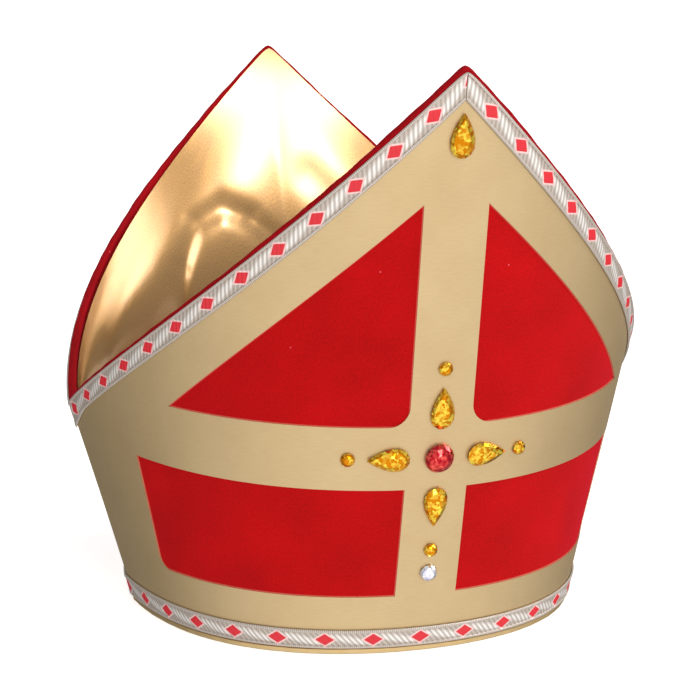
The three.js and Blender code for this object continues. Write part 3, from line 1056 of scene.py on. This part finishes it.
@dataclass(frozen=True)
class Galloon:
    """The metal braid: corded edges, and diamonds joined by slanting lens-shaped floats. In mm."""

    form: HornForm
    braid: Material
    width: float = 8
    base: float = 0.3  # of its back over the gold cloth
    body: float = 0.35
    cord: float = 1.3  # width of an edge cord
    cord_rise: float = 0.42
    groove: float = 0.22  # half width of the furrow beside a cord
    groove_depth: float = 0.12
    pitch: float = 18.3  # from diamond to diamond
    diamond: tuple[float, float] = (3.9, 2.75)  # half its length and half its height
    diamond_rise: float = 0.2
    float_half: float = 1.9  # half a float's height at its middle
    float_short: float = 1  # how far before the middle of a diamond it ends
    float_fade: float = 1.3
    float_rise: float = 0.22
    slant: float = -0.2  # rise of a float for each mm along
    step: float = 0.42
    across_steps: int = 26
    top_inset: float = 1.5
    hem_foot: float = 3
    phase: dict[Side, float] = field(default_factory=lambda: {Side.LEFT: 15.5, Side.RIGHT: 13.8})
    hem_phase: float = -0.7

    def figures(self, x: np.ndarray, y: np.ndarray) -> tuple[np.ndarray, np.ndarray, np.ndarray]:
        """What is woven at each place of the braid.

        Args:
            x: Distance along, with a diamond at every multiple of the pitch.
            y: Distance from the braid's centre line.

        Returns:
            How far inside a diamond, how far inside a float, and how far inside an edge cord, 0 to 1.
        """
        near = (x + self.pitch / 2) % self.pitch - self.pitch / 2
        long, high = self.diamond
        inside = 1 - np.abs(near) / long - np.abs(y) / high
        diamond = np.clip(0.5 + inside * 1.4, 0, 1)
        mid = x % self.pitch - self.pitch / 2
        reach = self.pitch / 2 - self.float_short
        half = self.float_half * np.sqrt(np.clip(1 - (mid / reach) ** 2, 0, 1))
        bright = np.clip((half - np.abs(y - self.slant * mid)) / self.float_fade + 0.2, 0, 1)
        cord = np.clip((np.abs(y) - (self.width / 2 - self.cord)) / 0.25, 0, 1)
        return diamond, bright * (1 - cord), cord

    def relief(self, x: np.ndarray, y: np.ndarray) -> np.ndarray:
        """Height of the braid's face over its body.

        Args:
            x: Distance along.
            y: Distance from the centre line.

        Returns:
            The heights.
        """
        diamond, bright, cord = self.figures(x, y)
        middle = self.width / 2 - self.cord / 2
        bow = np.sqrt(np.clip(1 - ((np.abs(y) - middle) / (self.cord / 2)) ** 2, 0, 1))
        groove = np.exp(-(((np.abs(y) - (self.width / 2 - self.cord)) / self.groove) ** 2))
        diamonds = np.clip(diamond * 2 - 1, 0, 1) * self.diamond_rise
        raised = cord * bow * self.cord_rise + bright * self.float_rise + diamonds
        return raised - groove * self.groove_depth

    def strip(
        self, stations: int, place: Callable[[np.ndarray, np.ndarray, np.ndarray], tuple], phase: float
    ) -> bmesh.types.BMesh:
        """A closed length of braid.

        Args:
            stations: How many steps it is made in.
            place: From shares along, distances from the top edge and offsets, to places and lengths along.
            phase: The distance along at which a diamond lies.

        Returns:
            The mesh, with its figures written to the thread attribute.
        """
        front = np.linspace(0, self.width, self.across_steps)
        back = np.linspace(self.width, 0, 3)
        on_face = np.concatenate([np.ones_like(front), np.zeros_like(back)])
        profile = np.stack([np.concatenate([front, back]), on_face], axis=-1)

        def lay(along: np.ndarray, loop: np.ndarray) -> tuple[np.ndarray, np.ndarray]:
            """Places the braid's surface.

            Args:
                along: Shares of the way along it.
                loop: Rows of its profile.

            Returns:
                The places in metres and the flat places in mm.
            """
            below, face = loop.T
            x = place(along, below, np.zeros_like(along))[1] - phase
            offset = self.base + face * (self.body + self.relief(x, self.width / 2 - below))
            return place(along, below, offset)[0], np.stack([x, below], axis=-1)

        def woven(flat: np.ndarray) -> np.ndarray:
            """The figures at flat places."""
            return np.stack(self.figures(flat[:, 0], self.width / 2 - flat[:, 1]), axis=-1)

        return Strand(stations, profile).lay(lay, woven)

    def top(self, horn: Horn, side: Side) -> None:
        """Makes the braid along one slope, from the mitre at the point to the seam.

        Args:
            horn: Which horn.
            side: Which slope.
        """
        mitre = SEAM_GAP / 2 / self.form.valley.half_girth
        centre = np.linspace(mitre, 1, 60)
        middle_q = self.form.slope(horn, centre, self.top_inset + self.width / 2)
        middle = self.form.face(horn, self.form.across(centre, middle_q), middle_q)
        run = np.concatenate([[0], np.cumsum(np.linalg.norm(np.diff(middle, axis=0), axis=1))])

        def place(along: np.ndarray, below: np.ndarray, offset: np.ndarray) -> tuple[np.ndarray, np.ndarray]:
            """Places the braid along the slope.

            Args:
                along: Shares of the way along it.
                below: Distances from its top edge.
                offset: Distances out from the gold cloth's face.

            Returns:
                The places in metres and the lengths along in mm.
            """
            share = lerp(mitre, 1, along)
            s = side.value * share
            q = self.form.slope(horn, s, self.top_inset + below)
            p = self.form.across(s, q)
            slid = (below - self.width / 2) * self.form.grade(horn, share)
            return self.form.bend(horn, p, q, offset), np.interp(share, centre, run) + slid

        bm = self.strip(round(run[-1] / self.step), place, self.phase[side])
        word, hand = horn.name.lower(), side.name.lower()
        node = f"{word}_top_trim_{hand}"
        piece(bm, f"{word}_slope_galloon_{hand}", [self.braid], [node])

    def round_hem(self, horn: Horn) -> None:
        """Makes the braid round half of the hem.

        Args:
            horn: The horn whose hem it is.
        """
        facing = -horn.value

        def place(along: np.ndarray, below: np.ndarray, offset: np.ndarray) -> tuple[np.ndarray, np.ndarray]:
            """Places the braid along the hem.

            Args:
                along: Shares of the way along it.
                below: Distances from its top edge.
                offset: Distances out from the gold cloth's face.

            Returns:
                The places in metres and the lengths along in mm.
            """
            s = facing * (2 * along - 1)
            q = self.hem_foot + self.width - below
            p = self.form.across(s, q)
            return self.form.bend(horn, p, q, offset), s * self.form.hem.half_girth

        stations = round(2 * self.form.hem.half_girth / self.step)
        bm = self.strip(stations, place, self.hem_phase)
        word = horn.name.lower()
        piece(bm, f"{word}_hem_galloon", [self.braid], [f"hem_trim_{word}"])


@dataclass(frozen=True)
class HemRoll:
    """Gold cloth rolled under the bottom edge, one ring that the hat stands on. Sizes are in mm."""

    form: HornForm
    gold: Material
    outer: float = 0.5
    inner: float = -4.2
    height: float = 2.5
    fullness: float = 0.5
    pucker: float = 0.12
    pucker_lengths: tuple[float, ...] = (7, 13, 29)

    def build(self, stations: int = 480, around: int = 16) -> None:
        """Makes the ring.

        Args:
            stations: Steps along it.
            around: Points round it.
        """
        girth = 4 * self.form.hem.half_girth
        profile = rounded_profile(0, self.height, self.inner, self.outer, self.fullness, around)

        def place(along: np.ndarray, loop: np.ndarray) -> tuple[np.ndarray, np.ndarray]:
            """Places the ring's surface.

            Args:
                along: Shares of the way along it.
                loop: Rows of its profile.

            Returns:
                The places in metres and the flat places in mm.
            """
            front = along < 0.5
            s = np.where(front, 4 * along - 1, 3 - 4 * along)
            p = self.form.across(s, np.zeros_like(s))
            zero = np.zeros_like(p)
            rim = np.where(front[:, None], *(self.form.face(horn, p, zero) for horn in Horn))
            out = np.where(front[:, None], *(self.form.directions(horn, p, zero)[1] for horn in Horn))
            out[:, 2] = 0
            at_seam = np.abs(s)[:, None] > AT_SEAM
            sideways = np.stack([np.sign(s), zero, zero], axis=-1)
            out = np.where(at_seam, sideways, out / np.linalg.norm(out, axis=-1, keepdims=True))
            pucker = self.pucker * ripple(along * girth, self.pucker_lengths, seed=11)
            places = rim + out * (loop[:, 1] + pucker)[:, None]
            places[:, 2] = loop[:, 0]
            pattern = np.stack([along * girth, loop[:, 0] - loop[:, 1]], axis=-1)
            return places * MM + np.array([0, self.form.seam_plane, 0]), pattern

        bm = Strand(stations, profile).lay(place)
        piece(bm, "rolled_hem", [self.gold], ["hem_roll"])


# ---- Crown lining ------------------------------------------------------------------------------


FOLD_BLEND = 5  # the higher, the sharper two folds meet


@dataclass(frozen=True)
class Fold:
    """A ridge of slack satin between two pattern places. Shares run to the seam, the rest is in mm."""

    horn: Horn
    from_share: float
    from_height: float
    to_share: float
    to_height: float
    height: float
    width: float


FOLDS = (
    Fold(Horn.BACK, 0.0, 134, -0.11, 150, 6, 5.5),
    Fold(Horn.BACK, -0.11, 150, -0.19, 156, 6, 6),
    Fold(Horn.BACK, -0.19, 156, -0.28, 149, 6, 6),
    Fold(Horn.BACK, -0.28, 149, -0.36, 129, 6, 5.5),
    Fold(Horn.BACK, -0.36, 129, -0.47, 100, 6, 6),
    Fold(Horn.BACK, -0.34, 170, -0.8, 91, 4.5, 7),
    Fold(Horn.BACK, 0.1, 170, 0.34, 128, 4.5, 11),
    Fold(Horn.BACK, 0.5, 140, 0.62, 104, 3, 8),
    Fold(Horn.FRONT, -0.3, 176, -0.12, 128, 4.5, 11),
    Fold(Horn.FRONT, 0.22, 180, 0.46, 118, 4, 10),
    Fold(Horn.FRONT, -0.62, 126, -0.5, 100, 3, 8),
)


@dataclass(frozen=True)
class CrownLining:
    """The satin slung between the horns: down the back one's inner face, across, and up the front one's.

    It is a single hanging sheet with slack folds. Sizes are in mm.
    """

    form: HornForm
    satin: Material
    reach: float = 0.965  # share of the way to the seam
    middle: float = 112  # pattern height of its floor at the centre
    side: float = 80  # and at its ends
    squareness: float = 0.6  # 1 for a round sling, towards 0 for a boxy one
    below: float = 1.3  # it is sewn near the top of the rolled edge
    offset: float = -3.9
    thickness: float = 0.5
    bulge: float = 10  # how far its slack stands off the horn
    bulge_depth: float = 34  # how far inside the slopes the slack builds up
    weave_length: float = 330  # from edge to edge, as the weave is laid out
    folds: Sequence[Fold] = FOLDS

    def fold_height(self, horn: Horn, p: np.ndarray, q: np.ndarray) -> np.ndarray:
        """How far the folds stand out from a horn.

        Args:
            horn: Which horn.
            p: Pattern distances across.
            q: Pattern heights.

        Returns:
            The distances.
        """
        height = np.zeros_like(p)
        for fold in self.folds:
            if fold.horn is not horn:
                continue
            start = np.array([self.form.across(fold.from_share, fold.from_height), fold.from_height])
            way = np.array([self.form.across(fold.to_share, fold.to_height), fold.to_height]) - start
            share = np.clip(((p - start[0]) * way[0] + (q - start[1]) * way[1]) / (way @ way), 0, 1)
            distance = np.hypot(p - start[0] - share * way[0], q - start[1] - share * way[1])
            ridge = fold.height * np.exp(-((distance / fold.width) ** 2))
            height = (height**FOLD_BLEND + ridge**FOLD_BLEND) ** (1 / FOLD_BLEND)
        return height

    def hung(self, horn: Horn, s: np.ndarray, turn: np.ndarray, slack: bool) -> np.ndarray:
        """Hangs the satin against a horn.

        Args:
            horn: Which horn.
            s: Shares of the way to the seam.
            turn: Angles over the sling, 0 or pi at an edge and half of pi at the floor.
            slack: Whether it has its folds or is drawn smooth.

        Returns:
            Places in metres, a row each.
        """
        top = self.form.slope(horn, s, self.below)
        trough = np.minimum(lerp(self.middle, self.side, (s / self.reach) ** 2), top - 1)
        q = lerp(top, trough, np.sin(turn) ** self.squareness)
        p = self.form.across(s, q)
        loose = self.bulge * (1 - (s / self.reach) ** 4)
        for side in Side:
            rise = self.form.peak[horn] - self.form.valley_height
            gap = self.form.peak[horn] - q - self.below - side.value * s * rise
            loose = loose * (1 - np.exp(-np.maximum(gap, 0) / self.bulge_depth))
        if slack:
            loose = loose + self.fold_height(horn, p, q) * np.sin(turn)
        return self.form.bend(horn, p, q, self.offset - loose)

    def sling(self, s: np.ndarray, turn: np.ndarray, slack: bool = True) -> np.ndarray:
        """Slings the satin from horn to horn.

        Args:
            s: Shares of the way to the seam.
            turn: Angles over the sling, from 0 at the back's edge to pi at the front's.
            slack: Whether it has its folds or is drawn smooth.

        Returns:
            Places in metres, a row each.
        """
        swing = np.cos(turn)
        crossing = (1 - np.sign(swing) * np.abs(swing) ** self.squareness) / 2
        back, front = (self.hung(horn, s, turn, slack) for horn in (Horn.BACK, Horn.FRONT))
        return lerp(back, front, crossing[:, None])

    def cut_size(self) -> tuple[float, float, float]:
        """Measures the cut over the sling without its folds.

        Returns:
            Its width, length and area, in metres.
        """
        shares, turns = np.linspace(-self.reach, self.reach, 61), np.linspace(0.002, np.pi - 0.002, 121)
        s, turn = (grid.ravel() for grid in np.meshgrid(shares, turns))
        places = self.sling(s, turn, slack=False).reshape(len(turns), len(shares), 3)
        down, over = np.diff(places, axis=0)[:, :-1], np.diff(places, axis=1)[:-1]
        area = np.linalg.norm(np.cross(down, over), axis=-1).sum()
        length = np.linalg.norm(down, axis=-1).sum(axis=0).max()
        width = np.linalg.norm(np.diff(places, axis=1), axis=-1).sum(axis=1).max()
        return float(width), float(length), float(area)

    def build(self, columns: int = 190, rows: int = 230) -> None:
        """Makes the lining.

        Args:
            columns: Steps across.
            rows: Steps over the sling.
        """
        bm = flat_grid(columns, rows)
        unit = flat_places(bm)
        s = 2 * self.reach * unit[:, 0]
        swing = 2 * unit[:, 1]
        turn = (1 + np.sign(swing) * (1 - (1 - np.abs(swing)) ** (1 / self.squareness))) * np.pi / 2
        along = (unit[:, 1] + 0.5) * self.weave_length
        chart(bm, np.stack([s * self.form.valley.half_girth, along], axis=-1))
        move_to(bm, self.sling(s, turn))
        bmesh.ops.solidify(bm, geom=bm.faces[:], thickness=self.thickness * MM)
        close(bm, weld=1e-7)
        shade(bm)
        nodes = ["crown_lining_back", "crown_lining_floor", "crown_lining_front"]
        lining = piece(bm, "satin_crown_lining", [self.satin], nodes)
        width, length, area = self.cut_size()
        log.info("lining cut: %.3f x %.3f m, %.4f square metres", width, length, area)


# ---- Stones ------------------------------------------------------------------------------------


@dataclass(frozen=True)
class Stone:
    """One glued stone: its CAD node, its cut and size in mm, its turn and its colour."""

    node: str
    cut: Cut
    width: float
    p: float
    rise: float  # above the middle of the crossbar
    turn: float
    glass: str


DROP_WIDTH = 9.4
STONES = (
    Stone("peak_stone", Cut.DROP, DROP_WIDTH, 0, 122.75, 0, "amber"),
    Stone("cross_bead_top", Cut.ROUND, 5.6, 0, 35.5, 0, "amber"),
    Stone("cross_drop_top", Cut.DROP, DROP_WIDTH, 0, 20, 0, "amber"),
    Stone("centre_stone", Cut.ROUND, 11.4, 0, 0, 0, "ruby"),
    Stone("cross_drop_left", Cut.DROP, DROP_WIDTH, -19.5, 0, 90, "amber"),
    Stone("cross_drop_right", Cut.DROP, DROP_WIDTH, 19.5, 0, -90, "amber"),
    Stone("cross_drop_bottom", Cut.DROP, DROP_WIDTH, 0, -20.5, 180, "amber"),
    Stone("cross_bead_left", Cut.ROUND, 5.6, -34.5, 0, 0, "amber"),
    Stone("cross_bead_right", Cut.ROUND, 5.6, 34.5, 0, 0, "amber"),
    Stone("cross_bead_bottom", Cut.ROUND, 5.6, 0, -39, 0, "amber"),
    Stone("clear_bead", Cut.ROUND, 7, 0, -49, 0, "clear"),
)


@dataclass(frozen=True)
class StoneSetter:
    """Cuts the stones and glues them on the front horn. Sizes are in mm."""

    form: HornForm
    finishes: dict[str, tuple[Material, Material]]
    cross_middle: float = 84.25
    drop_length: float = 16.4
    drop_height: float = 3
    # Each ring of corners: share of the outline, share of the height, and steps round from the tip.
    rings: Sequence[tuple[float, float, float]] = ((1, 0.28, 0.5), (0.8, 0.7, 1), (0.42, 1, 1.5))
    flute: float = 0.16  # of the foil's edge, as a share of the height
    hollow: float = 0.5
    hollow_shift: dict[Cut, float] = field(default_factory=lambda: {Cut.DROP: 0.3, Cut.ROUND: 0.0})
    foil_inset: float = 0.94  # the foil's outline, as a share of the stone's
    glue: float = 0.1  # how far it stands off the cloth

    def outline(self, stone: Stone, turn: float) -> Vector:
        """The outline of a stone.

        Args:
            stone: Which stone.
            turn: The angle from its tip.

        Returns:
            The place on it.
        """
        if stone.cut is Cut.ROUND:
            return Vector((math.sin(turn), math.cos(turn), 0)) * stone.width / 2
        wide = 3 * math.sqrt(3) / 4 * math.sin(turn) * abs(math.sin(turn / 2))
        return Vector((wide * stone.width / 2, math.cos(turn) * self.drop_length / 2, 0))

    def cut_stone(self, stone: Stone) -> bmesh.types.BMesh:
        """Cuts a faceted stone.

        Args:
            stone: Which stone.

        Returns:
            The stone standing on z = 0. The foil on its fluted back is its second material.
        """
        sides = 16 if stone.width > 6 else 10
        height = self.drop_height if stone.cut is Cut.DROP else 0.3 * stone.width + 0.6
        step = 2 * math.pi / sides
        bm = bmesh.new()
        bmesh.ops.create_circle(bm, cap_ends=True, segments=sides, radius=1)
        ring = list(bm.verts)
        for index, vert in enumerate(ring):
            vert.co = self.outline(stone, (index + 0.5) * step) * self.foil_inset
            vert.co.z = self.flute * height * (index % 2)
        hollow = bmesh.ops.poke(bm, faces=bm.faces[:])["verts"][0]
        hollow.co = self.outline(stone, math.pi) * self.hollow_shift[stone.cut]
        hollow.co.z = self.hollow * height
        for face in bm.faces:
            face.material_index = 1
        for share, rise, turned in self.rings:
            open_edges = [edge for edge in bm.edges if edge.is_boundary]
            grown = set(bmesh.ops.extrude_edge_only(bm, edges=open_edges)["geom"])
            ring = [
                next(e.other_vert(vert) for e in vert.link_edges if e.other_vert(vert) in grown)
                for vert in ring
            ]
            for index, vert in enumerate(ring):
                vert.co = self.outline(stone, (index + turned) * step) * share
                vert.co.z = rise * height
            sloping = list({face for vert in ring for face in vert.link_faces})
            bmesh.ops.triangulate(bm, faces=sloping)
        bmesh.ops.contextual_create(bm, geom=[edge for edge in bm.edges if edge.is_boundary])
        for face in bm.faces:
            face.smooth = False
        return bm

    def set_stone(self, stone: Stone) -> None:
        """Cuts a stone and stands it on the gold cloth.

        Args:
            stone: Which stone.
        """
        bm = self.cut_stone(stone)
        p, q = np.array([stone.p]), np.array([self.cross_middle + stone.rise])
        across, outward = (Vector(row[0]) for row in self.form.directions(Horn.FRONT, p, q))
        upward = outward.cross(across)
        place = Vector(self.form.bend(Horn.FRONT, p, q, np.array([self.glue]))[0])
        turned = Matrix((across, upward, outward)).transposed().to_4x4()
        spin = Matrix.Rotation(math.radians(stone.turn), 4, "Z")
        bm.transform(Matrix.Translation(place) @ turned @ spin @ Matrix.Scale(MM, 4))
        bmesh.ops.recalc_face_normals(bm, faces=bm.faces[:])
        piece(bm, f"{stone.node}_cut", self.finishes[stone.glass], [stone.node])


# ---- Studio ------------------------------------------------------------------------------------


@dataclass(frozen=True)
class Card:
    """A broad white card in the room. It fades from its middle to the cosine of its edge."""

    turn: float
    tilt: float
    edge: float
    strength: float


CARDS = (Card(-6, -20, -0.5, 1.02), Card(0, 90, 0.6, 0.4))


@dataclass(frozen=True)
class Studio:
    """A plain pale floor, soft light and the camera. Distances are in metres, angles in degrees."""

    target: tuple[float, float, float]
    turn: float = -17.14
    tilt: float = 10.42
    distance: float = 0.8
    lens: float = 96.14
    floor_reach: float = 30
    floor_glow: float = 0.62
    room_light: float = 0.12
    spot_target: tuple[float, float, float] = (-0.01, 0.09, 0.178)
    spot_turn: float = 16
    spot_tilt: float = 34
    spot_distance: float = 1.5
    spot_reach: float = 0.085
    spot_radius: float = 0.1
    spot_power: float = 85  # in watts

    def toward(self, turn: float, tilt: float) -> Vector:
        """The direction from the hat to a place in the room.

        Args:
            turn: The place's turn from the front, in degrees.
            tilt: Its tilt from level.

        Returns:
            The unit direction.
        """
        turn, tilt = math.radians(turn), math.radians(tilt)
        level = math.cos(tilt)
        return Vector((math.sin(turn) * level, -math.cos(turn) * level, math.sin(tilt)))

    def floor(self) -> None:
        """Lays the floor, which sweeps up far away on all sides. It lights itself, but not the hat."""
        material, tree = blank_material("pale_floor")
        place = add_node(tree, "TexCoord").outputs["Object"]
        tone = add_node(tree, "TexNoise", {"Vector": place, "Scale": 3, "Detail": 2})
        paint = {
            "Base Color": add_node(
                tree, "Mix", {0: tone, 6: linear("#f6f5f4"), 7: linear("#f8f7f6")}, data_type="RGBA"
            ),
            "Roughness": 0.9,
            "Specular IOR Level": 0.1,
            "Emission Color": linear("#ffffff"),
            "Emission Strength": self.floor_glow,
        }
        add_node(tree, "OutputMaterial", {"Surface": add_node(tree, "BsdfPrincipled", paint)})
        bm = bmesh.new()
        bmesh.ops.create_circle(bm, cap_ends=True, segments=96, radius=self.floor_reach)
        sweep = bmesh.ops.extrude_edge_only(bm, edges=[edge for edge in bm.edges if edge.is_boundary])
        rim = [item for item in sweep["geom"] if isinstance(item, bmesh.types.BMVert)]
        bmesh.ops.scale(bm, vec=(1.2, 1.2, 1), verts=rim)
        bmesh.ops.translate(bm, vec=(0, 0, self.floor_reach), verts=rim)
        bmesh.ops.recalc_face_normals(bm, faces=bm.faces[:])
        mesh = bpy.data.meshes.new("floor")
        bm.to_mesh(mesh)
        bm.free()
        mesh.materials.append(material)
        floor = bpy.data.objects.new("floor", mesh)
        floor.visible_diffuse = False
        floor.visible_glossy = False
        floor.visible_transmission = False
        floor.visible_shadow = False
        bpy.context.scene.collection.objects.link(floor)

    def hang(self, light: bpy.types.Light, turn: float, tilt: float, strength: float) -> Object:
        """Hangs a lamp so that it shines on the hat.

        Args:
            light: The light.
            turn: The turn that it shines from.
            tilt: The tilt that it shines from.
            strength: Its strength.

        Returns:
            The lamp.
        """
        light.energy = strength
        lamp = bpy.data.objects.new(light.name, light)
        bpy.context.scene.collection.objects.link(lamp)
        lamp.rotation_euler = self.toward(turn, tilt).to_track_quat("Z", "Y").to_euler()
        return lamp

    def lamp(self, name: str, turn: float, tilt: float, strength: float, softness: float) -> None:
        """Hangs a far lamp.

        Args:
            name: Its name.
            turn: The turn that it shines from.
            tilt: The tilt that it shines from.
            strength: Its strength in watts per square metre.
            softness: How many degrees across it is.
        """
        light = bpy.data.lights.new(name, "SUN")
        light.angle = math.radians(softness)
        self.hang(light, turn, tilt, strength)

    def crown_spot(self) -> None:
        """Hangs a narrow spot lamp that shines over the front horn, onto the satin high in the back one."""
        light = bpy.data.lights.new("crown_spot", "SPOT")
        light.spot_size = 2 * math.atan(self.spot_reach / self.spot_distance)
        light.spot_blend = 1
        light.shadow_soft_size = self.spot_radius
        lamp = self.hang(light, self.spot_turn, self.spot_tilt, self.spot_power)
        way = self.toward(self.spot_turn, self.spot_tilt)
        lamp.location = Vector(self.spot_target) + way * self.spot_distance

    def room(self) -> None:
        """Surrounds the hat with a dim room and its white cards."""
        world = bpy.data.worlds.new("studio")
        bpy.context.scene.world = world
        world.use_nodes = True
        tree = world.node_tree
        tree.nodes.clear()
        way = add_node(tree, "TexCoord").outputs["Generated"]
        light = self.room_light
        for card in CARDS:
            towards = {0: way, 1: self.toward(card.turn, card.tilt)}
            facing = add_node(tree, "VectorMath", towards, operation="DOT_PRODUCT").outputs["Value"]
            reach = {"Value": facing, "From Min": card.edge, "To Max": card.strength}
            glow = add_node(tree, "MapRange", reach, interpolation_type="SMOOTHSTEP")
            light = add_node(tree, "Math", {0: light, 1: glow}, operation="ADD")
        background = add_node(tree, "Background", {"Color": linear("#ffffff"), "Strength": light})
        add_node(tree, "OutputWorld", {"Surface": background})

    def camera(self) -> None:
        """Stands the camera."""
        data = bpy.data.cameras.new("camera")
        data.lens = self.lens
        data.sensor_width = 36
        data.clip_start = 0.01
        data.dof.use_dof = False
        camera = bpy.data.objects.new("camera", data)
        bpy.context.scene.collection.objects.link(camera)
        way = self.toward(self.turn, self.tilt)
        camera.location = Vector(self.target) + way * self.distance
        camera.rotation_euler = way.to_track_quat("Z", "Y").to_euler()
        bpy.context.scene.camera = camera

    def build(self) -> None:
        """Sets up the whole studio."""
        self.floor()
        self.camera()
        self.room()
        self.lamp("key", turn=80, tilt=32, strength=1.45, softness=30)
        self.lamp("front", turn=6, tilt=20, strength=0.6, softness=22)
        self.lamp("back_fill", turn=205, tilt=40, strength=0.4, softness=50)
        self.crown_spot()
        view = bpy.context.scene.view_settings
        view.view_transform = "Standard"
        view.look = "None"


# ---- The hat -----------------------------------------------------------------------------------


def main() -> None:
    """Builds the studio and the hat, piece by piece."""
    logging.basicConfig(level=logging.INFO, format="%(name)s: %(message)s")
    low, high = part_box("hem_roll")
    form = HornForm(seam_plane=(low.y + high.y) / 2)
    windows = Windows(form)
    Studio(target=(0.00056, form.seam_plane, 0.10252)).build()

    velvet = CottonVelvet().make("cotton_velvet", windows.edges())
    # painted shade: the rolled edges' velvet is a darker copy of the velvet, for edges that face away from
    # the light
    shaded_edge_velvet = CottonVelvet(deep="#7c0309", bright="#a80812", sheen=0.25).make("cotton_velvet_edge_shaded")
    gold = FoilCloth().make("gold_foil_cloth")
    rolled_gold = FoilCloth(shade="#cdaa6c", light="#dcbc84", roughness=0.38).make("gold_foil_roll")
    braid = LurexGalloon().make("lurex_galloon")
    satin = PolyesterSatin().make("gold_satin")
    stones = {
        "amber": AcrylicStone("#ffb000", "#d88410", "#ffe050").make("amber_acrylic"),
        "ruby": AcrylicStone("#e0101c", "#b8202c", "#ff6458").make("ruby_acrylic"),
        "clear": AcrylicStone("#fbf9ff", "#e4dff0", "#ffffff").make("clear_acrylic"),
    }

    cloth = HornCloth(form, windows, velvet, gold)
    roll = EdgeRoll(form, shaded_edge_velvet)
    galloon = Galloon(form, braid)
    for horn in Horn:
        cloth.build(horn)
        roll.build(horn)
        galloon.round_hem(horn)
        for side in Side:
            galloon.top(horn, side)
    HemRoll(form, rolled_gold).build()
    CrownLining(form, satin).build()
    setter = StoneSetter(form, stones)
    for stone in STONES:
        setter.set_stone(stone)


if __name__ == "__main__":
    main()
